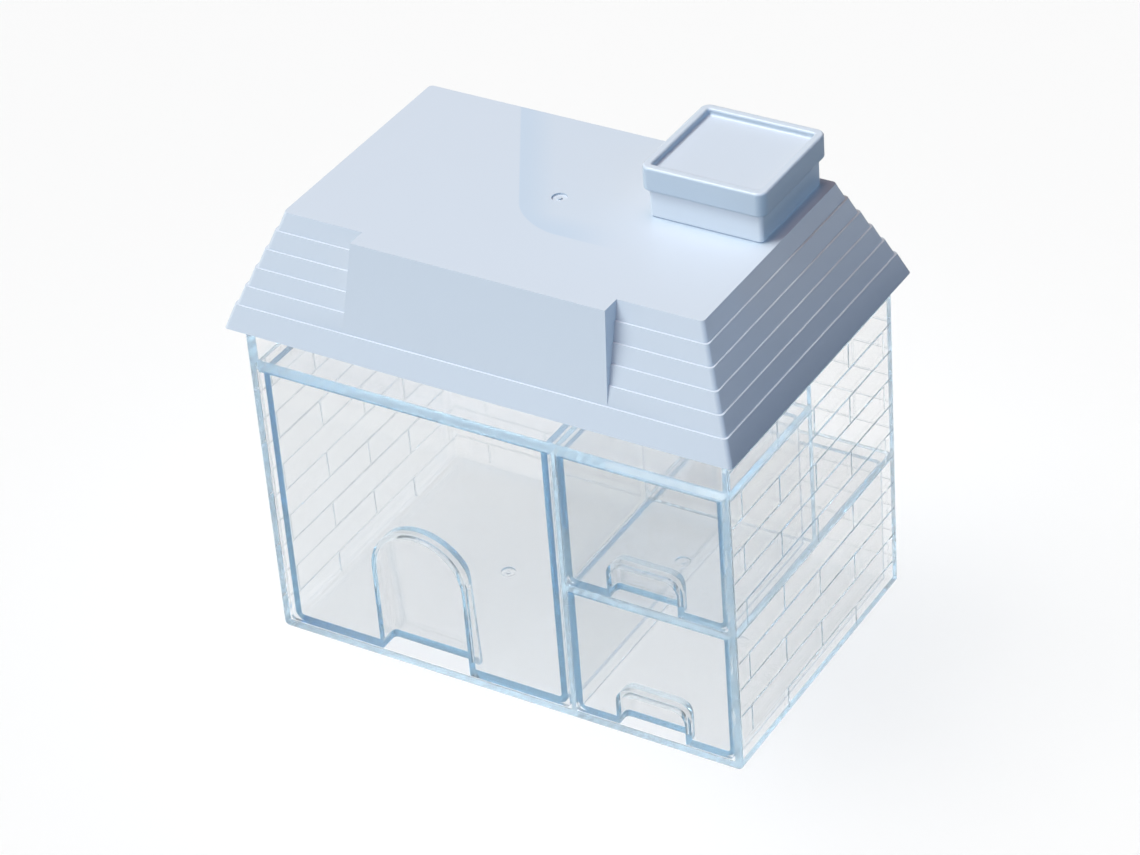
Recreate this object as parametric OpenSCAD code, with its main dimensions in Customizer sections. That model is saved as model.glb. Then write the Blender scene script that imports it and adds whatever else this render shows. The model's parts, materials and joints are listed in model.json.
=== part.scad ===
// House-shaped desk organiser, in millimetres.
// A clear case holds one tall drawer and two stacked drawers, with an open bin behind the
// upper one. An opaque roof with shingle courses lifts off a tray, and a chimney with its own
// lid opens onto the bin. The origin is the centre of the footprint, on the table, and the
// drawers open towards -Y.

/* [Case] */
// Width of the case
case_w = 150; // [135:0.5:190]
// Depth of the case, front to back
case_d = 94.5; // [86:0.5:130]
// Height of the case's rim above the table
rim_h = 106; // [102:0.5:118]
// Thickness of the outer walls and of the bottom
wall = 2.4; // [1.6:0.1:3]
// Radius of the upright corners at the back
corner_r = 1.8; // [1:0.1:4]
// Radius of the upright corners at the front
rim_r = 0.6; // [0.4:0.1:2]
// Radius of the edges at the foot of the sides and of the back
base_r = 1.8; // [0.8:0.1:2.4]

/* [Inside the case] */
// Place of the divider's middle, right of the case's middle
divider_x = 22; // [10:0.5:28]
// Thickness of the divider between the left and right drawers
divider_t = 1.5; // [1.2:0.1:2.4]
// Height of the top of the shelf between the right-hand drawers
shelf_h = 46.2; // [36:0.2:54]
// Thickness of the shelf
shelf_t = 2.2; // [1.4:0.1:3]
// Depth of the tray under the roof, from the case's rim down to the deck
tray_depth = 14.6; // [12:0.2:24]
// Thickness of the deck
deck_t = 2.4; // [1.6:0.1:3]
// Place of the bin's front partition, behind the case's middle
partition_y = -1; // [-8:0.5:6]
// Thickness of the partition
partition_t = 2; // [1.2:0.1:2.6]
// Gap between the tops of the bin's walls and the roof's rib
bin_gap = 0.8; // [0.5:0.1:4]

/* [Drawers] */
// Running gap all round each drawer, and between its front and the opening
drawer_gap = 0.35; // [0.3:0.05:0.6]
// Space left behind each drawer
drawer_back_gap = 2.4; // [1:0.1:4]
// Thickness of a drawer's front
front_t = 1.9; // [1.5:0.1:2.6]
// Thickness of the tall drawer's sides and back
tall_side_t = 2; // [1.4:0.1:2.4]
// Thickness of the small drawers' sides and backs
small_side_t = 1.5; // [1.2:0.1:2.2]
// Thickness of the tall drawer's floor
tall_floor_t = 2.1; // [1.4:0.1:3]
// Thickness of the small drawers' floors
small_floor_t = 1.6; // [1.4:0.1:2.6]
// How far the tall drawer's sides stand in from the ends of its front
tall_inset = 1.2; // [0:0.1:2]
// How far a drawer's sides and back stop below the top of its front
side_drop = 0.6; // [0:0.1:3]
// Radius of the lower corners of a drawer's front
front_r = 1.4; // [1:0.1:4]
// Radius where a drawer's floor and sides meet, on the outside
drawer_r = 3; // [2:0.1:4]
// The same radius on the inside
drawer_in_r = 1; // [0.6:0.1:2]

/* [Finger scoops] */
// Width of the arched door that is pressed into the tall drawer's front
arch_w = 29; // [20:0.2:36]
// Height of the arched door
arch_h = 42.4; // [26:0.2:56]
// Depth of the arched door at its foot
arch_depth = 6.3; // [4.5:0.1:9]
// How far the back of the arched door leans forward at its crown
arch_lean = 2.3; // [0:0.1:2.5]
// Width of a small drawer's scoop
scoop_w = 20.8; // [14:0.2:28]
// Height of a small drawer's scoop
scoop_h = 10.6; // [7:0.2:16]
// Radius of the small scoop's upper corners
scoop_top_r = 4; // [2:0.2:6]
// Depth of a small drawer's scoop
scoop_depth = 4.1; // [4.1:0.1:7]
// Thickness of the walls round the arched door and the scoops
scoop_wall = 1.4; // [1:0.1:2]
// Radius of their back corners, seen from above
scoop_back_r = 1.2; // [0.5:0.1:3]
// How far they stand left of the middle of their drawer's front
scoop_shift = 0.6; // [-2:0.1:2]

/* [Brick pattern] */
// Height of a brick course
brick_h = 8.92; // [6:0.02:14]
// Length of a brick
brick_l = 40.7; // [20:0.1:60]
// Height of the first joint line above one course
brick_start = 0.3; // [0:0.1:1]
// Width of an engraved joint
joint_w = 0.5; // [0.3:0.05:0.8]
// Depth of an engraved joint
joint_depth = 0.35; // [0.2:0.05:0.6]
// Height of the foot of the lowest upright joints
joint_foot = 2.4; // [1.2:0.1:4]
// Distance from the front at which the joints in the sides end
joint_end = 1; // [0.8:0.1:3]

/* [Roof] */
// How far the eaves hang down below the case's rim
eave_drop = 2.3; // [1:0.1:5]
// Height of the roof from the eaves to its flat top
roof_rise = 32.75; // [24:0.25:44]
// How far the eaves stand out past the case's sides
eave_side = 3.65; // [3.3:0.05:6]
// How far the eaves stand out past the case's front and back
eave_front = 4.25; // [3.3:0.05:6]
// How far a slope runs in from the eaves to the flat top
slope_run = 14.35; // [11:0.05:16]
// Number of shingle courses
course_count = 6; // [3:1:6]
// Height of the lowest course
eave_course_h = 7; // [4:0.1:10]
// Depth of the ledge at the top of each course
ledge = 0.5; // [0.2:0.05:0.8]
// Thickness of the roof's shell
roof_t = 2; // [1.6:0.1:2.4]
// Radius of the roof's hip corners
hip_r = 1.3; // [0.6:0.1:3]
// Thickness of the locating rib and of the seat inside the roof
rib_t = 1.6; // [1.2:0.1:2.2]
// How far the rib drops inside the case's rim
rib_drop = 5.8; // [3:0.1:6.6]
// Gap between the rib and the case's walls
rib_gap = 0.4; // [0.3:0.05:0.8]

/* [Dormer] */
// Width of the dormer where it meets the flat top
dormer_top_w = 78; // [50:1:90]
// Width of the dormer at its foot
dormer_foot_w = 82; // [54:1:94]
// How far the dormer's top edge stands out from the flat top
dormer_out = 6; // [3:0.1:7.5]

/* [Chimney] */
// Width of the chimney
chimney_w = 33.9; // [26:0.1:35]
// Depth of the chimney, front to back
chimney_d = 33.2; // [26:0.1:34]
// Place of the chimney's right side, in from the flat top's edge
chimney_side = 3.5; // [2.4:0.1:6]
// Place of the chimney's back, in from the flat top's edge
chimney_back = 2.5; // [2.2:0.1:5]
// Height of the lid's top above the flat top
chimney_h = 16; // [12:0.1:20]
// Thickness of the chimney's wall
chimney_t = 1.8; // [1.4:0.1:2.4]
// Radius of the chimney's upright corners
chimney_r = 1.2; // [1:0.1:2.4]
// Height of the shadow gap at the chimney's foot
foot_gap = 0.4; // [0.2:0.05:0.8]
// How far the foot stands in behind the shadow gap
foot_inset = 0.8; // [0.4:0.05:1]
// Gap between the chimney's neck and the hole in the roof
neck_gap = 0.15; // [0.1:0.05:0.3]
// How far the neck's snap bead stands out under the roof
bead = 0.5; // [0.3:0.05:0.8]
// Height of the neck's snap bead
bead_h = 1.2; // [0.8:0.1:2]

/* [Chimney lid] */
// Height of the lid's skirt, from its top to its lower edge
skirt_h = 7.2; // [6:0.1:9]
// Thickness of the lid's skirt
skirt_t = 1.2; // [0.8:0.05:1.6]
// Gap between the skirt and the chimney
skirt_gap = 0.35; // [0.25:0.05:0.5]
// Width of the raised rim round the lid's top
lid_rim_w = 2.5; // [1.8:0.1:4]
// Depth of the panel inside the rim
lid_recess = 1.9; // [0.8:0.1:2.4]
// Thickness of the lid's panel
lid_t = 1.6; // [1.2:0.1:2.4]

/* [Gate marks] */
// Radius of the dished gate mark left by moulding
gate_r = 2.2; // [1.5:0.1:3]
// Depth of the dish
gate_depth = 0.6; // [0.2:0.05:0.8]
// Radius of the nub in the middle of the dish
gate_nub_r = 0.6; // [0.4:0.05:1]

/* [Hidden] */

$fn = 48;
eps = 0.01;
cut = 5;

clear_blue = [0.76, 0.88, 0.94, 0.4];
roof_blue = [0.74, 0.82, 0.91];

// Planes of the case
case_x = case_w / 2;
case_y = case_d / 2;
in_x = case_x - wall;
in_y = case_y - wall;
divider_x0 = divider_x - divider_t / 2;
divider_x1 = divider_x + divider_t / 2;
partition_y0 = partition_y - partition_t / 2;
partition_y1 = partition_y + partition_t / 2;
shelf_z0 = shelf_h - shelf_t;
deck_h = rim_h - tray_depth;
deck_z0 = deck_h - deck_t;
bin_wall_h = rim_h - rib_drop - bin_gap;

// Planes of the roof
eave_h = rim_h - eave_drop;
eave_x = case_x + eave_side;
eave_y = case_y + eave_front;
top_x = eave_x - slope_run;
top_y = eave_y - slope_run;
roof_top = eave_h + roof_rise;
pitch = slope_run / roof_rise;
lean = (slope_run - ledge * (course_count - 1)) / roof_rise;
slope_t = roof_t * sqrt(1 + pitch * pitch);
upper_course_h = (roof_rise - eave_course_h) / (course_count - 1);
cavity_r = max(hip_r - roof_t, 0.4);

// Planes of the chimney and its lid
chimney_x = top_x - chimney_side - chimney_w / 2;
chimney_y = top_y - chimney_back - chimney_d / 2;
neck_w = chimney_w - 2 * foot_inset;
neck_d = chimney_d - 2 * foot_inset;
lid_top = roof_top + chimney_h;
panel_z0 = lid_top - lid_recess - lid_t;

// Rectangle centred on the origin, with rounded corners
module rounded_rect(w, d, r) {
    square([w - 2 * r, d], center = true);
    square([w, d - 2 * r], center = true);
    for (x = [-1, 1], y = [-1, 1])
        translate([x * (w / 2 - r), y * (d / 2 - r)]) circle(r);
}

// Upright slab of that rectangle, from height z0 to z1
module slab(w, d, r, z0, z1) {
    translate([0, 0, z0]) linear_extrude(z1 - z0) rounded_rect(w, d, r);
}

// Elevation with rounded lower corners, from height 0 up, centred on x = 0
module round_footed(w, h, r) {
    translate([-w / 2, r]) square([w, h - r]);
    translate([-w / 2 + r, 0]) square([w - 2 * r, h]);
    for (x = [-1, 1]) translate([x * (w / 2 - r), r]) circle(r);
}

// Elevation with rounded upper corners, from height 0 up, centred on x = 0
module round_headed(w, h, r) {
    translate([-w / 2, 0]) square([w, h - r]);
    if (w > 2 * r + eps) translate([-w / 2 + r, 0]) square([w - 2 * r, h]);
    for (x = [-1, 1]) translate([x * (w / 2 - r), h - r]) circle(r);
}

// Extrudes an elevation (x across, y up) from depth y0 back to y1
module elevation(y0, y1) {
    translate([0, y1, 0]) rotate([90, 0, 0]) linear_extrude(y1 - y0) children();
}

// Extrudes a side elevation (x towards the back, y up) from x0 to x1
module side_elevation(x0, x1) {
    translate([x0, 0, 0]) rotate([90, 0, 90]) linear_extrude(x1 - x0) children();
}

// Box between two corners
module span(a, b) {
    translate(a) cube(b - a);
}

// Shallow dish with a nub, cut down into a face at height z
module gate_mark(x, y, z) {
    translate([x, y, z - gate_depth]) difference() {
        cylinder(h = gate_depth + cut, r = gate_r);
        translate([0, 0, -eps]) cylinder(h = gate_depth * 0.7, r = gate_nub_r);
    }
}

// ---------------------------------------------------------------- case

// Outside of the case: corners and bottom edges rounded, but the front's lower edge square
module case_block() {
    intersection() {
        linear_extrude(rim_h) {
            rounded_rect(case_w, case_d, corner_r);
            translate([0, -case_d / 4]) rounded_rect(case_w, case_d / 2, rim_r);
        }
        elevation(-case_y - eps, case_y + eps) round_footed(case_w, rim_h + eps, base_r);
        side_elevation(-case_x - eps, case_x + eps) {
            round_footed(case_d, rim_h + eps, base_r);
            translate([-case_y - eps, 0]) square([case_y, rim_h + eps]);
        }
    }
}

// Joints of a brick wall from x0 to x1, engraved into the face y = 0 from the -y side
module brick_joints(x0, x1) {
    top = rim_h - corner_r;
    reach = ceil(case_w / brick_l);
    last = floor((top - joint_w - brick_start) / brick_h);
    for (k = [1 : last]) {
        z = brick_start + k * brick_h;
        span([x0, -cut, z - joint_w / 2], [x1, joint_depth, z + joint_w / 2]);
    }
    for (k = [0 : last]) {
        z0 = k == 0 ? joint_foot : brick_start + k * brick_h;
        z1 = min(brick_start + (k + 1) * brick_h, top);
        shift = k % 2 == 0 ? brick_l / 2 : 0;
        for (j = [-reach : reach]) {
            x = j * brick_l + shift;
            if (x > x0 + joint_w && x < x1 - joint_w)
                span([x - joint_w / 2, -cut, z0], [x + joint_w / 2, joint_depth, z1]);
        }
    }
}

// Bays for the three drawers, open at the front
module drawer_bays() {
    front = -case_y - cut;
    span([-in_x, front, wall], [divider_x0, in_y, deck_z0]);
    span([divider_x1, front, wall], [in_x, in_y, shelf_z0]);
    span([divider_x1, front, shelf_h], [in_x, partition_y0, deck_z0]);
}

// Tray above the deck and the bin behind the partition, open at the top
module tray_and_bin() {
    difference() {
        span([-in_x, -in_y, deck_h], [in_x, in_y, rim_h + cut]);
        span([divider_x0, partition_y0, deck_z0], [in_x + eps, in_y + eps, bin_wall_h]);
    }
    span([divider_x1, partition_y1, shelf_h], [in_x, in_y, rim_h + cut]);
}

module case() {
    color(clear_blue) difference() {
        case_block();
        drawer_bays();
        tray_and_bin();
        translate([case_x, 0, 0]) rotate([0, 0, 90])
            brick_joints(joint_end - case_y, case_y - corner_r);
        translate([-case_x, 0, 0]) rotate([0, 0, -90])
            brick_joints(corner_r - case_y, case_y - joint_end);
        translate([0, case_y, 0]) rotate([0, 0, 180])
            brick_joints(corner_r - case_x, case_x - corner_r);
    }
}

// ------------------------------------------------------------- drawers

// Pocket in a drawer's front, from the plane y = 0 back, as wide, high and deep as given. Its
// back leans forward by the angle a.
module scoop(w, h, top_r, depth, back_r, a) {
    intersection() {
        elevation(-eps, depth) round_headed(w, h, top_r);
        translate([0, depth, 0]) rotate([a, 0, 0]) translate([0, -h, -cut])
            linear_extrude(h + 2 * cut) rounded_rect(w, 2 * h, back_r);
    }
}

// One drawer in the opening x0 to x1, z0 to z1, back to y1: its sides stand in by inset and are
// side_t thick, its floor is floor_t thick, and the values that begin with s_ are its scoop's
module drawer(x0, x1, z0, z1, y1, inset, side_t, floor_t, s_w, s_h, s_r, s_depth, s_lean = 0) {
    w = x1 - x0 - 2 * drawer_gap;
    h = z1 - z0 - 2 * drawer_gap;
    d = y1 + case_y - drawer_back_gap;
    body_w = w - 2 * inset;
    body_h = h - side_drop;
    s_angle = atan(s_lean / s_h);
    translate([(x0 + x1) / 2, -case_y, z0 + drawer_gap]) difference() {
        union() {
            elevation(0, front_t) round_footed(w, h, front_r);
            difference() {
                intersection() {
                    elevation(0, d) round_footed(body_w, body_h, drawer_r);
                    translate([0, 0, -eps]) linear_extrude(body_h + 2 * eps)
                        rounded_rect(body_w, 2 * d, drawer_r);
                }
                intersection() {
                    translate([0, 0, floor_t]) elevation(front_t, d - side_t)
                        round_footed(body_w - 2 * side_t, body_h, drawer_in_r);
                    translate([0, 0, -eps]) linear_extrude(body_h + cut)
                        rounded_rect(body_w - 2 * side_t, 2 * (d - side_t), drawer_in_r);
                }
                gate_mark(0, d / 2, floor_t);
            }
            translate([-scoop_shift, 0, 0]) scoop(
                s_w + 2 * scoop_wall, s_h + scoop_wall, s_r + scoop_wall,
                s_depth + scoop_wall, scoop_back_r + scoop_wall, s_angle
            );
        }
        translate([-scoop_shift, -eps, -eps])
            scoop(s_w, s_h + eps, s_r, s_depth + eps, scoop_back_r, s_angle);
    }
}

module drawer_left() {
    color(clear_blue) drawer(
        -in_x, divider_x0, wall, deck_z0, in_y,
        tall_inset, tall_side_t, tall_floor_t,
        arch_w, arch_h, arch_w / 2, arch_depth, arch_lean
    );
}

module drawer_right_upper() {
    color(clear_blue) drawer(
        divider_x1, in_x, shelf_h, deck_z0, partition_y0,
        0, small_side_t, small_floor_t, scoop_w, scoop_h, scoop_top_r, scoop_depth
    );
}

module drawer_right_lower() {
    color(clear_blue) drawer(
        divider_x1, in_x, wall, shelf_z0, in_y,
        0, small_side_t, small_floor_t, scoop_w, scoop_h, scoop_top_r, scoop_depth
    );
}

// ---------------------------------------------------------------- roof

// Tapered slab with rounded corners: half sizes x0, y0 at height z0 and x1, y1 at z1
module taper(x0, y0, z0, x1, y1, z1, r) {
    hull() {
        slab(2 * x0, 2 * y0, r, z0, z0 + eps, $fn = 32);
        slab(2 * x1, 2 * y1, r, z1 - eps, z1, $fn = 32);
    }
}

// How far a course's face has come in at height z, for the course k above the eaves
function course_in(k, z) = lean * (z - eave_h) + ledge * k;

// Height of the foot of course k
function course_z(k) = k == 0 ? eave_h : eave_h + eave_course_h + (k - 1) * upper_course_h;

// Courses, each stepped in by a ledge from the one below it
module courses() {
    for (k = [0 : course_count - 1]) {
        z0 = course_z(k);
        z1 = course_z(k + 1);
        a = course_in(k, z0);
        b = course_in(k, z1);
        taper(eave_x - a, eave_y - a, z0, eave_x - b, eave_y - b, z1, hip_r);
    }
}

// Half sizes of the shell's inside at height z
function inside_x(z) = eave_x - pitch * (z - eave_h) - slope_t;
function inside_y(z) = eave_y - pitch * (z - eave_h) - slope_t;

// Block on the front slope: side elevation times front elevation, set in by t
module dormer(t) {
    foot_z = course_z(1);
    foot_y = eave_y - course_in(1, foot_z) - t;
    top_out = top_y + dormer_out - t;
    intersection() {
        side_elevation(-dormer_foot_w, dormer_foot_w) polygon([
            [-foot_y, foot_z], [-top_out, roof_top - t], [0, roof_top - t], [0, foot_z]
        ]);
        elevation(-eave_y, 0) polygon([
            [-dormer_foot_w / 2 + t, foot_z], [dormer_foot_w / 2 - t, foot_z],
            [dormer_top_w / 2 - t, roof_top - t], [-dormer_top_w / 2 + t, roof_top - t]
        ]);
    }
}

// Ring that seats on the case's rim, and the rib that drops inside it
module seat_and_rib() {
    rib_x = in_x - rib_gap;
    rib_y = in_y - rib_gap;
    seat_x = inside_x(rim_h) + roof_t / 4;
    seat_y = inside_y(rim_h) + roof_t / 4;
    difference() {
        union() {
            span([-seat_x, -seat_y, rim_h], [seat_x, seat_y, rim_h + rib_t]);
            span([-rib_x, -rib_y, rim_h - rib_drop], [rib_x, rib_y, rim_h + eps]);
        }
        span(
            [-rib_x + rib_t, -rib_y + rib_t, rim_h - rib_drop - eps],
            [rib_x - rib_t, rib_y - rib_t, rim_h + rib_t + eps]
        );
    }
}

module roof() {
    ceiling = roof_top - roof_t;
    color(roof_blue) difference() {
        union() {
            difference() {
                union() {
                    courses();
                    dormer(0);
                }
                taper(
                    inside_x(eave_h - eps), inside_y(eave_h - eps), eave_h - eps,
                    inside_x(ceiling), inside_y(ceiling), ceiling, cavity_r
                );
                dormer(roof_t);
            }
            seat_and_rib();
        }
        translate([chimney_x, chimney_y, ceiling - cut])
            slab(neck_w, neck_d, chimney_r, 0, roof_t + 2 * cut);
        gate_mark(0, 0, roof_top);
    }
}

// ------------------------------------------------------------- chimney

// Square collar: it stands on the roof, and its neck snaps into the roof's hole
module chimney() {
    neck_x = neck_w - 2 * neck_gap;
    neck_y = neck_d - 2 * neck_gap;
    bead_top = roof_top - roof_t - neck_gap;
    color(roof_blue) translate([chimney_x, chimney_y, 0]) difference() {
        union() {
            slab(chimney_w, chimney_d, chimney_r, roof_top + foot_gap, panel_z0);
            slab(
                neck_w + foot_inset, neck_d + foot_inset, chimney_r,
                roof_top, roof_top + foot_gap + eps
            );
            slab(neck_x, neck_y, chimney_r, bead_top - bead_h, roof_top + eps);
            slab(
                neck_w + 2 * bead, neck_d + 2 * bead, chimney_r,
                bead_top - bead_h, bead_top
            );
        }
        slab(
            neck_x - 2 * chimney_t, neck_y - 2 * chimney_t, chimney_r,
            bead_top - bead_h - eps, panel_z0 + eps
        );
    }
}

// Cap with a raised rim, whose skirt slips over the collar
module chimney_lid() {
    inner_w = chimney_w + 2 * skirt_gap;
    inner_d = chimney_d + 2 * skirt_gap;
    outer_w = inner_w + 2 * skirt_t;
    outer_d = inner_d + 2 * skirt_t;
    color(roof_blue) translate([chimney_x, chimney_y, 0]) difference() {
        slab(outer_w, outer_d, chimney_r + skirt_gap + skirt_t, lid_top - skirt_h, lid_top);
        slab(inner_w, inner_d, chimney_r + skirt_gap, lid_top - skirt_h - eps, panel_z0);
        slab(
            outer_w - 2 * lid_rim_w, outer_d - 2 * lid_rim_w, chimney_r / 2,
            lid_top - lid_recess, lid_top + eps
        );
    }
}

case();
drawer_left();
drawer_right_upper();
drawer_right_lower();
roof();
chimney();
chimney_lid();
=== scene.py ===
"""House-shaped desk organiser: clear case and drawers under an opaque pale-blue roof.

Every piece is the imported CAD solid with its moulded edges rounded. Lengths are in metres.
"""

import json
import math

import bmesh
import bpy
from mathutils import Matrix, Vector

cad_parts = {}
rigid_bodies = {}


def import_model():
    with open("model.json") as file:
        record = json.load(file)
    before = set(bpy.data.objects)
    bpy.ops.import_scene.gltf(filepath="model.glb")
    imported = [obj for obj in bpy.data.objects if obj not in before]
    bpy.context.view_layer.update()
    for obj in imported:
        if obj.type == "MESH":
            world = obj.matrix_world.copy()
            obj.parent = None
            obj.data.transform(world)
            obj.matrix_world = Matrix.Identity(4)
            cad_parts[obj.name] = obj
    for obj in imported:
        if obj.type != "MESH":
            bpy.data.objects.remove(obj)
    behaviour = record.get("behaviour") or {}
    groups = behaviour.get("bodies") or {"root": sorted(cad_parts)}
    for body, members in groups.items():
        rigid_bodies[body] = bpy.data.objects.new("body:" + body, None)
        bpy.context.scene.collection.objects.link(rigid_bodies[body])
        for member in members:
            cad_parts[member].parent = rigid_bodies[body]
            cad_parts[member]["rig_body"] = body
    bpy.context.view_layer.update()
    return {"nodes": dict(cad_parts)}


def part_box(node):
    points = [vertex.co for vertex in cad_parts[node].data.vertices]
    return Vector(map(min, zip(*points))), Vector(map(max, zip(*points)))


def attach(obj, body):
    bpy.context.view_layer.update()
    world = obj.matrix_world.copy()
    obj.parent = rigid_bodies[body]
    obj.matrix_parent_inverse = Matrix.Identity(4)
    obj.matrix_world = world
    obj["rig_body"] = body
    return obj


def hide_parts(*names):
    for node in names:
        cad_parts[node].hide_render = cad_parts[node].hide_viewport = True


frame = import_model()

MM = 0.001
scene = bpy.context.scene

DRAWERS = ("drawer_left", "drawer_right_upper", "drawer_right_lower")

# Half the case's width and depth, the height of its rim, and the height of the roof's flat top
CASE_X, CASE_Y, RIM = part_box("case")[1]
ROOF_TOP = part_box("roof")[1].z


def add_object(name, data):
    """A new object in the scene."""
    thing = bpy.data.objects.new(name, data)
    scene.collection.objects.link(thing)
    return thing


# ------------------------------------------------------------------ camera

CAMERA_TARGET = Vector((0, -4.0 * MM, 63.73 * MM))
CAMERA_DISTANCE = 1058.4 * MM
CAMERA_AZIMUTH = math.radians(33.105)
CAMERA_ELEVATION = math.radians(34.728)
CAMERA_ROLL = math.radians(-4.641)
CAMERA_LENS = 120.38
CAMERA_SENSOR = 36
CAMERA_NEAR = 0.01
CAMERA_FAR = 50


def make_camera():
    """The camera at the photograph's viewing angle: far off, with a long lens, and a little tilted."""
    back = Vector((
        math.sin(CAMERA_AZIMUTH) * math.cos(CAMERA_ELEVATION),
        -math.cos(CAMERA_AZIMUTH) * math.cos(CAMERA_ELEVATION),
        math.sin(CAMERA_ELEVATION),
    ))
    data = bpy.data.cameras.new("camera")
    data.lens = CAMERA_LENS
    data.sensor_width = CAMERA_SENSOR
    data.clip_start = CAMERA_NEAR
    data.clip_end = CAMERA_FAR
    camera = add_object("camera", data)
    turn = (-back).to_track_quat("-Z", "Y").to_matrix().to_4x4()
    roll = Matrix.Rotation(CAMERA_ROLL, 4, "Z")
    place = Matrix.Translation(CAMERA_TARGET + back * CAMERA_DISTANCE)
    camera.matrix_world = place @ turn @ roll
    scene.camera = camera


# -------------------------------------------------------- nodes of materials


def new_material(name):
    """An empty node material and its links, output node and Principled shader."""
    material = bpy.data.materials.new(name)
    material.use_nodes = True
    nodes = material.node_tree.nodes
    nodes.clear()
    output = nodes.new("ShaderNodeOutputMaterial")
    shader = nodes.new("ShaderNodeBsdfPrincipled")
    material.node_tree.links.new(shader.outputs["BSDF"], output.inputs["Surface"])
    return material, nodes, material.node_tree.links, output, shader


def add_noise(nodes, links, scale, detail):
    """Noise in the object's own coordinates, at so many waves a metre."""
    place = nodes.new("ShaderNodeTexCoord")
    noise = nodes.new("ShaderNodeTexNoise")
    noise.inputs["Scale"].default_value = scale
    noise.inputs["Detail"].default_value = detail
    links.new(place.outputs["Object"], noise.inputs["Vector"])
    return noise.outputs["Fac"]


def add_uneven_gloss(nodes, links, shader, noise, low, high):
    """Gives a shader a roughness that wanders between low and high with the noise."""
    node = nodes.new("ShaderNodeMapRange")
    node.inputs["To Min"].default_value = low
    node.inputs["To Max"].default_value = high
    links.new(noise, node.inputs["Value"])
    links.new(node.outputs["Result"], shader.inputs["Roughness"])


def add_bump(nodes, links, shader, noise, strength, distance):
    """Gives a shader a bump from the noise."""
    bump = nodes.new("ShaderNodeBump")
    bump.inputs["Strength"].default_value = strength
    bump.inputs["Distance"].default_value = distance
    links.new(noise, bump.inputs["Height"])
    links.new(bump.outputs["Normal"], shader.inputs["Normal"])


def mix_shaders(nodes, links, first, second, share):
    """The first shader with a share of the second."""
    mix = nodes.new("ShaderNodeMixShader")
    mix.inputs["Fac"].default_value = share
    links.new(first, mix.inputs[1])
    links.new(second, mix.inputs[2])
    return mix.outputs["Shader"]


def reckon(nodes, links, operation, a, b=0.0):
    """A maths node on two sockets or numbers."""
    node = nodes.new("ShaderNodeMath")
    node.operation = operation
    for socket, value in zip(node.inputs, (a, b)):
        if isinstance(value, float):
            socket.default_value = value
        else:
            links.new(value, socket)
    return node.outputs["Value"]


def ramp(nodes, links, value, span, start, end):
    """start below the span, end above it, and a smooth change within it."""
    node = nodes.new("ShaderNodeMapRange")
    node.interpolation_type = "SMOOTHSTEP"
    node.inputs["From Min"].default_value = span[0]
    node.inputs["From Max"].default_value = span[1]
    node.inputs["To Min"].default_value = start
    node.inputs["To Max"].default_value = end
    links.new(value, node.inputs["Value"])
    return node.outputs["Result"]


def reach_along(nodes, links, place, direction):
    """How far a place lies in a direction."""
    node = nodes.new("ShaderNodeVectorMath")
    node.operation = "DOT_PRODUCT"
    node.inputs[1].default_value = direction
    links.new(place, node.inputs[0])
    return node.outputs["Value"]


# --------------------------------------------------------------- materials

# Clear pieces: how strongly they bend light, and the colour that a great depth of them takes
CLEAR_IOR = 1.54
DEPTH_COLOUR = (0.38, 0.70, 0.85, 1)

# Roof, chimney and lid: how strongly their skin reflects, their colour, and the colour of the painted
# shade on the roof's top
ROOF_IOR = 1.5
ROOF_COLOUR = (0.50, 0.575, 0.66, 1)
SHADE_PATCH_COLOUR = (0.44, 0.54, 0.65, 1)

# Painted shade on the roof's top, a darker, bluer patch left of the chimney: two sides of the patch,
# each a direction inward and a start, the radius of its corner, the width over which it fades, where
# it ends to the right, the height above which it lies, and the width of its outline
SHADE_PATCH_SIDES = (((0.862, 0.507, 0.0), -11.09 * MM), ((0.0, 1.0, 0.0), -17.0 * MM))
SHADE_PATCH_RADIUS = 10 * MM
SHADE_PATCH_FADE = 14 * MM
SHADE_PATCH_RIGHT = (8 * MM, 30 * MM)
SHADE_PATCH_LEVEL = (ROOF_TOP - 0.55 * MM, ROOF_TOP - 0.15 * MM)
SHADE_PATCH_LINE = 0.5 * MM


def add_haze(nodes, links, colour):
    """Shader that scatters light evenly to both sides of a face."""
    near = nodes.new("ShaderNodeBsdfDiffuse")
    far = nodes.new("ShaderNodeBsdfTranslucent")
    for side in (near, far):
        side.inputs["Color"].default_value = colour
    return mix_shaders(nodes, links, near.outputs["BSDF"], far.outputs["BSDF"], share=0.5)


def make_clear_plastic(name, colour, depth_of_tint, haze_share, haze_colour):
    """Polished clear plastic: faintly blue in depth, a little hazy, and slowly waved."""
    material, nodes, links, output, shader = new_material(name)
    shader.inputs["Base Color"].default_value = colour
    shader.inputs["IOR"].default_value = CLEAR_IOR
    shader.inputs["Transmission Weight"].default_value = 1
    smear = add_noise(nodes, links, scale=45, detail=3)
    add_uneven_gloss(nodes, links, shader, smear, low=0.0, high=0.05)
    waves = add_noise(nodes, links, scale=35, detail=1)
    add_bump(nodes, links, shader, waves, strength=1, distance=0.015 * MM)
    haze = add_haze(nodes, links, haze_colour)
    veil = mix_shaders(nodes, links, shader.outputs["BSDF"], haze, haze_share)
    links.new(veil, output.inputs["Surface"])
    depth = nodes.new("ShaderNodeVolumeAbsorption")
    depth.inputs["Color"].default_value = DEPTH_COLOUR
    depth.inputs["Density"].default_value = depth_of_tint
    links.new(depth.outputs["Volume"], output.inputs["Volume"])
    return material


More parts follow.
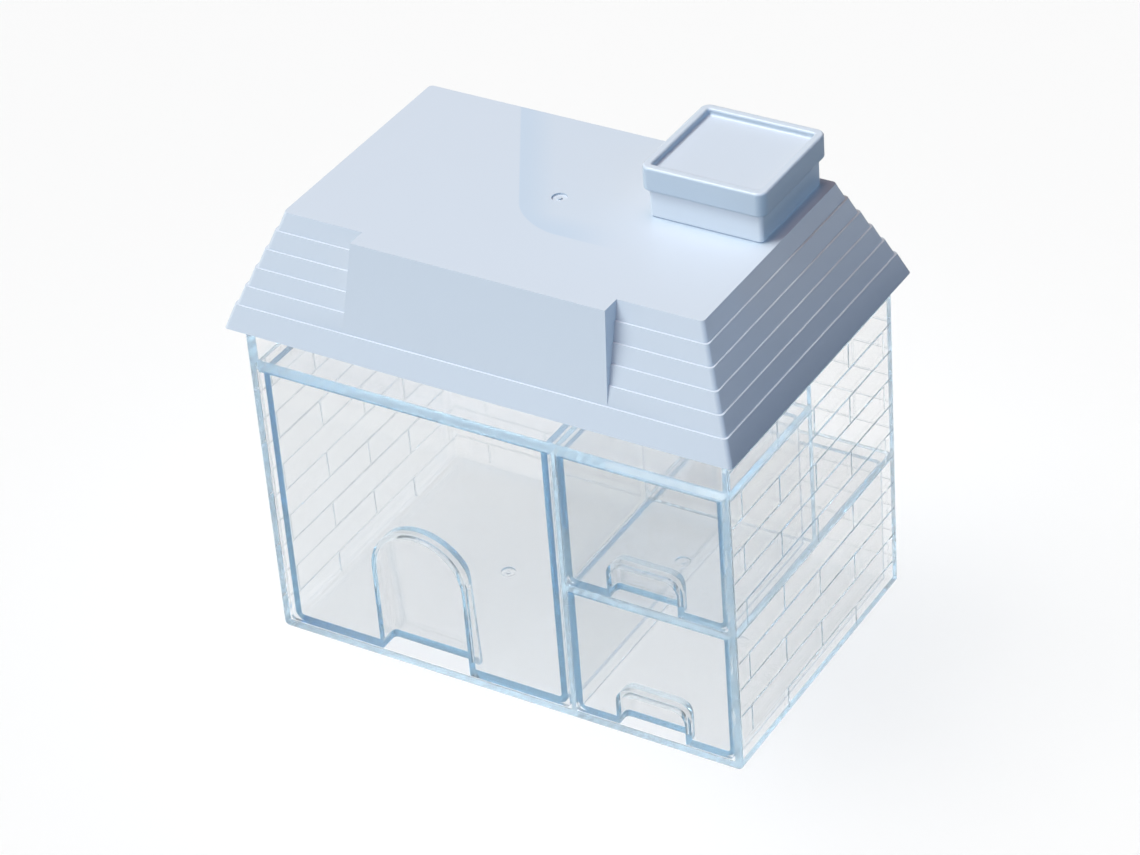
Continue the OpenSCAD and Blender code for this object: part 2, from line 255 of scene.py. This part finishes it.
def add_painted_shade_patch(nodes, links):
    """1 at the outline of the painted shade patch, fading to 0 inside it, and 0 outside."""
    place = nodes.new("ShaderNodeTexCoord").outputs["Object"]
    reach = 0.0
    for inward, start in SHADE_PATCH_SIDES:
        along = reach_along(nodes, links, place, inward)
        short = reckon(nodes, links, "SUBTRACT", SHADE_PATCH_RADIUS + start, along)
        short = reckon(nodes, links, "MAXIMUM", short, 0.0)
        reach = reckon(nodes, links, "ADD", reckon(nodes, links, "MULTIPLY", short, short), reach)
    corner = reckon(nodes, links, "SQRT", reach)
    inside = reckon(nodes, links, "SUBTRACT", SHADE_PATCH_RADIUS, corner)
    axes = nodes.new("ShaderNodeSeparateXYZ")
    links.new(place, axes.inputs["Vector"])
    painted_shade_amount = ramp(nodes, links, inside, (0.0, SHADE_PATCH_FADE), 1, 0)
    for value, span, start, end in (
        (inside, (0.0, SHADE_PATCH_LINE), 0, 1),
        (axes.outputs["X"], SHADE_PATCH_RIGHT, 1, 0),
        (axes.outputs["Z"], SHADE_PATCH_LEVEL, 0, 1),
    ):
        painted_shade_amount = reckon(nodes, links, "MULTIPLY", painted_shade_amount, ramp(nodes, links, value, span, start, end))
    return painted_shade_amount


def make_roof_plastic(name, painted_shade):
    """Opaque pale-blue plastic with a satin skin, and, if asked for, a patch of painted shade on the
    roof's top.
    """
    material, nodes, links, output, shader = new_material(name)
    shader.inputs["IOR"].default_value = ROOF_IOR
    shader.inputs["Base Color"].default_value = ROOF_COLOUR
    # Painted shade: the base colour turns darker and bluer over a patch of the roof's top left of the
    # chimney
    if painted_shade:
        tint = nodes.new("ShaderNodeMix")
        tint.data_type = "RGBA"
        tint.inputs["A"].default_value = ROOF_COLOUR
        tint.inputs["B"].default_value = SHADE_PATCH_COLOUR
        links.new(add_painted_shade_patch(nodes, links), tint.inputs["Factor"])
        links.new(tint.outputs["Result"], shader.inputs["Base Color"])
    sheen = add_noise(nodes, links, scale=90, detail=4)
    add_uneven_gloss(nodes, links, shader, sheen, low=0.34, high=0.44)
    grain = add_noise(nodes, links, scale=4000, detail=2)
    add_bump(nodes, links, shader, grain, strength=0.2, distance=0.01 * MM)
    return material


def make_floor_material():
    """Plain white table top."""
    material, nodes, links, output, shader = new_material("floor")
    shader.inputs["Base Color"].default_value = (0.93, 0.93, 0.93, 1)
    shader.inputs["Roughness"].default_value = 0.9
    shader.inputs["Specular IOR Level"].default_value = 0.1
    return material


# ------------------------------------------------------------------ pieces

# How near points are joined, the angles under which faces count as one flat face and over
# which an edge is rounded, the angle under which shading runs on across an edge, and the
# number of facets across a rounding
WELD = 0.001 * MM
FLAT = math.radians(0.4)
SHARP = math.radians(28)
SMOOTH = math.radians(40)
SEGMENTS = 3


def moulding(node, name, material, slot, width, width_at=None):
    """A copy of a CAD node with its sharp edges rounded, which stands for the node.

    width is the widest rounding, and width_at gives an edge's own from its two ends.
    """
    source = frame["nodes"][node]
    bm = bmesh.new()
    bm.from_mesh(source.data)
    bmesh.ops.remove_doubles(bm, verts=bm.verts, dist=WELD)
    bmesh.ops.dissolve_limit(
        bm, angle_limit=FLAT, use_dissolve_boundaries=False, verts=bm.verts, edges=bm.edges
    )
    weight = bm.edges.layers.float.new("bevel_weight_edge")
    for edge in bm.edges:
        if len(edge.link_faces) == 2 and edge.calc_face_angle() > SHARP:
            own = width if width_at is None else width_at(edge.verts[0].co, edge.verts[1].co)
            edge[weight] = own / width
    for face in bm.faces:
        face.smooth = True
    mesh = bpy.data.meshes.new(name)
    bm.to_mesh(mesh)
    bm.free()
    mesh.set_sharp_from_angle(angle=SMOOTH)
    mesh.materials.append(material)
    piece = add_object(name, mesh)
    bevel = piece.modifiers.new("moulded_edges", "BEVEL")
    bevel.limit_method = "WEIGHT"
    bevel.width = width
    bevel.segments = SEGMENTS
    bevel.use_clamp_overlap = True
    facing = piece.modifiers.new("flat_faces", "WEIGHTED_NORMAL")
    facing.mode = "FACE_AREA"
    facing.weight = 100
    facing.keep_sharp = True
    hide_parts(node)
    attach(piece, source["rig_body"])
    piece.visible_shadow = slot != "clear_plastic"
    piece.visible_diffuse = slot != "clear_plastic"
    return piece


# Case: roundings of its edges and of the engraved joints, the depth within which an edge
# belongs to a joint, how near the surface counts as on it, and the margin at the foot and rim
CASE_EDGE = 0.3 * MM
JOINT_EDGE = 0.1 * MM
JOINT_DEPTH = 0.4 * MM
SURFACE = 0.01 * MM
MARGIN = 1.95 * MM

# Drawers: roundings of their edges and of the gate marks, and the reach of a gate mark from
# the middle of its drawer
DRAWER_EDGE = 0.35 * MM
GATE_EDGE = 0.08 * MM
GATE_RADIUS = 2.6 * MM
GATES = [(sum(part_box(drawer), Vector()) / 2).xy for drawer in DRAWERS]

# Roof, chimney and lid: roundings of the flat top's outline, of the dormer's upright corners,
# of the ledges, of the chimney and of its lid. The dormer's corners lie before ROOF_FRONT and
# between the two distances from the middle
ROOF_EDGE = 0.9 * MM
DORMER_EDGE = 0.5 * MM
LEDGE_EDGE = 0.2 * MM
CHIMNEY_EDGE = 0.2 * MM
LID_EDGE = 0.7 * MM
TOP_FLAT = 0.05 * MM
ROOF_FRONT = -38 * MM
DORMER_SPAN = (38.5 * MM, 41.5 * MM)


def case_edge(a, b):
    """Full rounding, but a narrow one for the engraved joints and none down inside them."""
    if not all(MARGIN < point.z < RIM - MARGIN for point in (a, b)):
        return CASE_EDGE
    side = min(abs(a.x), abs(b.x)) - CASE_X
    back = min(a.y, b.y) - CASE_Y
    if side < -JOINT_DEPTH and back < -JOINT_DEPTH:
        return CASE_EDGE
    return JOINT_EDGE if max(side, back) > -SURFACE else 0


def drawer_edge(a, b):
    """Full rounding, but a fine one for the gate marks."""
    if any((point.xy - gate).length < GATE_RADIUS for gate in GATES for point in (a, b)):
        return GATE_EDGE
    return DRAWER_EDGE


def roof_edge(a, b):
    """Full rounding for the flat top's outline, less on the dormer, and least on the ledges."""
    if min(a.z, b.z) > ROOF_TOP - TOP_FLAT:
        return ROOF_EDGE
    upright = abs(a.z - b.z) > max(abs(a.x - b.x), abs(a.y - b.y))
    front = max(a.y, b.y) < ROOF_FRONT
    near, far = DORMER_SPAN
    if upright and front and all(near < abs(point.x) < far for point in (a, b)):
        return DORMER_EDGE
    return LEDGE_EDGE


# ------------------------------------------------------------------- stage

# Floor: its size, and how far it lies under the case. White wall: its radius, which is also
# its height, its number of sides, and its brightness, which is the floor's at the horizon
FLOOR_SIZE = 8
FLOOR_GAP = 0.4 * MM
BACKDROP_RADIUS = 3.9
BACKDROP_SIDES = 96
BACKDROP_LIGHT = 0.935

# Black cards at the right of the roof: name, x from and to, y from and to, and height
FLAGS = (
    ("eave_flag", (80 * MM, 120 * MM), (-62 * MM, 62 * MM), 100 * MM),
    ("chimney_flag", (66 * MM, 120 * MM), (-20 * MM, 62 * MM), 137 * MM),
)

# The surround: the direction in which it is brightest, and its strength there and opposite
BRIGHT_SIDE = Vector((-0.35, 0.75, 0.56)).normalized()
BRIGHT_SPAN = (-0.3, 1)
BRIGHT_STRENGTH = 2.0
DIM_STRENGTH = 0.9


def make_sheet(name, material, x, y, z):
    """A flat rectangle, x[0] to x[1] by y[0] to y[1], at height z."""
    mesh = bpy.data.meshes.new(name)
    corners = [(x[0], y[0], z), (x[1], y[0], z), (x[1], y[1], z), (x[0], y[1], z)]
    mesh.from_pydata(corners, [], [(0, 1, 2, 3)])
    mesh.materials.append(material)
    return add_object(name, mesh)


def hide_from(thing, *rays):
    """Makes a thing invisible to rays of the kinds that are named."""
    for ray in rays:
        setattr(thing, "visible_" + ray, False)


def make_floor(material):
    """A plain floor that the case stands on."""
    reach = (-FLOOR_SIZE / 2, FLOOR_SIZE / 2)
    floor = make_sheet("floor", material, reach, reach, -FLOOR_GAP)
    return floor


def make_backdrop():
    """A white wall round the floor, which only the camera sees, and only from low down."""
    material, nodes, links, output, shader = new_material("backdrop")
    shader.inputs["Base Color"].default_value = (0, 0, 0, 1)
    shader.inputs["Emission Color"].default_value = (1, 1, 1, 1)
    shader.inputs["Emission Strength"].default_value = BACKDROP_LIGHT
    material.cycles.emission_sampling = "NONE"
    bm = bmesh.new()
    bmesh.ops.create_cone(
        bm, cap_ends=False, segments=BACKDROP_SIDES, radius1=BACKDROP_RADIUS,
        radius2=BACKDROP_RADIUS, depth=2 * BACKDROP_RADIUS
    )
    mesh = bpy.data.meshes.new("backdrop")
    bm.to_mesh(mesh)
    bm.free()
    mesh.materials.append(material)
    backdrop = add_object("backdrop", mesh)
    hide_from(backdrop, "diffuse", "glossy", "transmission", "shadow")


def make_flag(name, x, y, z):
    """A black card that only diffuse light meets: it takes the table's light off what is above."""
    material, nodes, links, output, shader = new_material(name)
    shader.inputs["Base Color"].default_value = (0, 0, 0, 1)
    flag = make_sheet(name, material, x, y, z)
    hide_from(flag, "camera", "glossy", "transmission", "shadow")


def make_world():
    """A dim surround, brightest at the back left, for the gloss and the clear walls to show."""
    world = bpy.data.worlds.new("studio")
    scene.world = world
    world.use_nodes = True
    nodes = world.node_tree.nodes
    links = world.node_tree.links
    place = nodes.new("ShaderNodeTexCoord").outputs["Generated"]
    along = reach_along(nodes, links, place, BRIGHT_SIDE)
    strength = ramp(nodes, links, along, BRIGHT_SPAN, DIM_STRENGTH, BRIGHT_STRENGTH)
    links.new(strength, nodes["Background"].inputs["Strength"])
    world.cycles_visibility.diffuse = False


# Lamps: name, direction from the case, width in degrees, strength, colour, whether it casts
# shadows, and the group that it lights
LAMPS = (
    ("key", (-0.40, -0.32, 0.86), 35, 3.85, (0.98, 1.0, 0.975), True, "opaque"),
    ("top", (0.0, 0.0, 1.0), 25, 1.1, (1.0, 0.68, 0.59), True, "opaque"),
    ("side_fill", (0.90, -0.20, 0.40), 60, 0.69, (0.11, 0.53, 1.0), True, "opaque"),
    ("front_fill", (0.0, -0.97, 0.24), 60, 0.32, (0.62, 0.72, 1.0), True, "opaque"),
    ("inside", (0.0, 0.0, -1.0), 60, 2.4, (1.0, 1.0, 1.0), False, "opaque"),
    ("collar_front", (0.0, -0.8, 0.6), 20, 1.45, (1.0, 0.93, 0.86), True, "collar"),
    ("lid_front", (0.0, -1.0, 0.05), 20, 0.43, (0.41, 0.77, 1.0), True, "lid"),
    ("table_even", (0.0, 0.0, 1.0), 60, 2.85, (1.0, 1.0, 1.0), False, "table"),
    ("table_key", (-0.1, -0.12, 0.99), 40, 0.42, (1.0, 1.0, 1.0), True, "table"),
    ("haze", (-0.58, -0.58, 0.58), 20, 7, (1.0, 1.0, 1.0), False, "clear"),
)


def make_lamps(groups):
    """Broad, distant lamps, each on its own group of pieces, so that the table is evenly lit.

    A lamp that casts no shadows isn't seen in the gloss or through the clear walls either.
    """
    lit = {}
    for group, pieces in groups.items():
        lit[group] = bpy.data.collections.new("lit_" + group)
        for piece in pieces:
            lit[group].objects.link(piece)
    for name, direction, width, strength, colour, shadow, group in LAMPS:
        data = bpy.data.lights.new(name, "SUN")
        data.angle = math.radians(width)
        data.energy = strength
        data.color = colour
        data.use_shadow = shadow
        lamp = add_object(name, data)
        turn = Vector(direction).normalized().to_track_quat("Z", "Y")
        lamp.matrix_world = turn.to_matrix().to_4x4()
        lamp.visible_glossy = shadow
        lamp.visible_transmission = shadow
        lamp.light_linking.receiver_collection = lit[group]


# Enough bounces for light to run the length of a clear wall
CLEAR_BOUNCES = 256
DIFFUSE_BOUNCES = 4


def set_light_paths():
    """The limits on bounces, and plain colours."""
    cycles = scene.cycles
    cycles.max_bounces = CLEAR_BOUNCES
    cycles.transmission_bounces = CLEAR_BOUNCES
    cycles.glossy_bounces = CLEAR_BOUNCES
    cycles.diffuse_bounces = DIFFUSE_BOUNCES
    scene.view_settings.view_transform = "Standard"


# ------------------------------------------------------------------ making

make_camera()
set_light_paths()
make_world()
floor = make_floor(make_floor_material())
make_backdrop()
for flag in FLAGS:
    make_flag(*flag)

case_plastic = make_clear_plastic(
    "case_plastic", colour=(0.972, 0.954, 0.944, 1), depth_of_tint=10,
    haze_share=0.035, haze_colour=(0.74, 0.82, 0.88, 1)
)
drawer_plastic = make_clear_plastic(
    "drawer_plastic", colour=(0.986, 0.962, 0.948, 1), depth_of_tint=28,
    haze_share=0.03, haze_colour=(0.64, 0.76, 0.85, 1)
)
# The roof's plastic carries the painted shade patch on its top; the chimney's and the lid's don't
roof_plastic = make_roof_plastic("roof_plastic", painted_shade=True)
chimney_plastic = make_roof_plastic("chimney_plastic", painted_shade=False)

clear = [
    moulding("case", "case_clear", case_plastic, "clear_plastic", CASE_EDGE, case_edge)
]
for drawer in DRAWERS:
    clear.append(moulding(
        drawer, drawer + "_clear", drawer_plastic, "clear_plastic", DRAWER_EDGE, drawer_edge
    ))
shell = moulding("roof", "roof_shell", roof_plastic, "roof_plastic", ROOF_EDGE, roof_edge)
collar = moulding("chimney", "chimney_collar", chimney_plastic, "roof_plastic", CHIMNEY_EDGE)
cap = moulding("chimney_lid", "chimney_cap", chimney_plastic, "roof_plastic", LID_EDGE)
make_lamps({
    "opaque": [shell, collar, cap], "collar": [collar], "lid": [cap],
    "clear": clear, "table": clear + [floor],
})
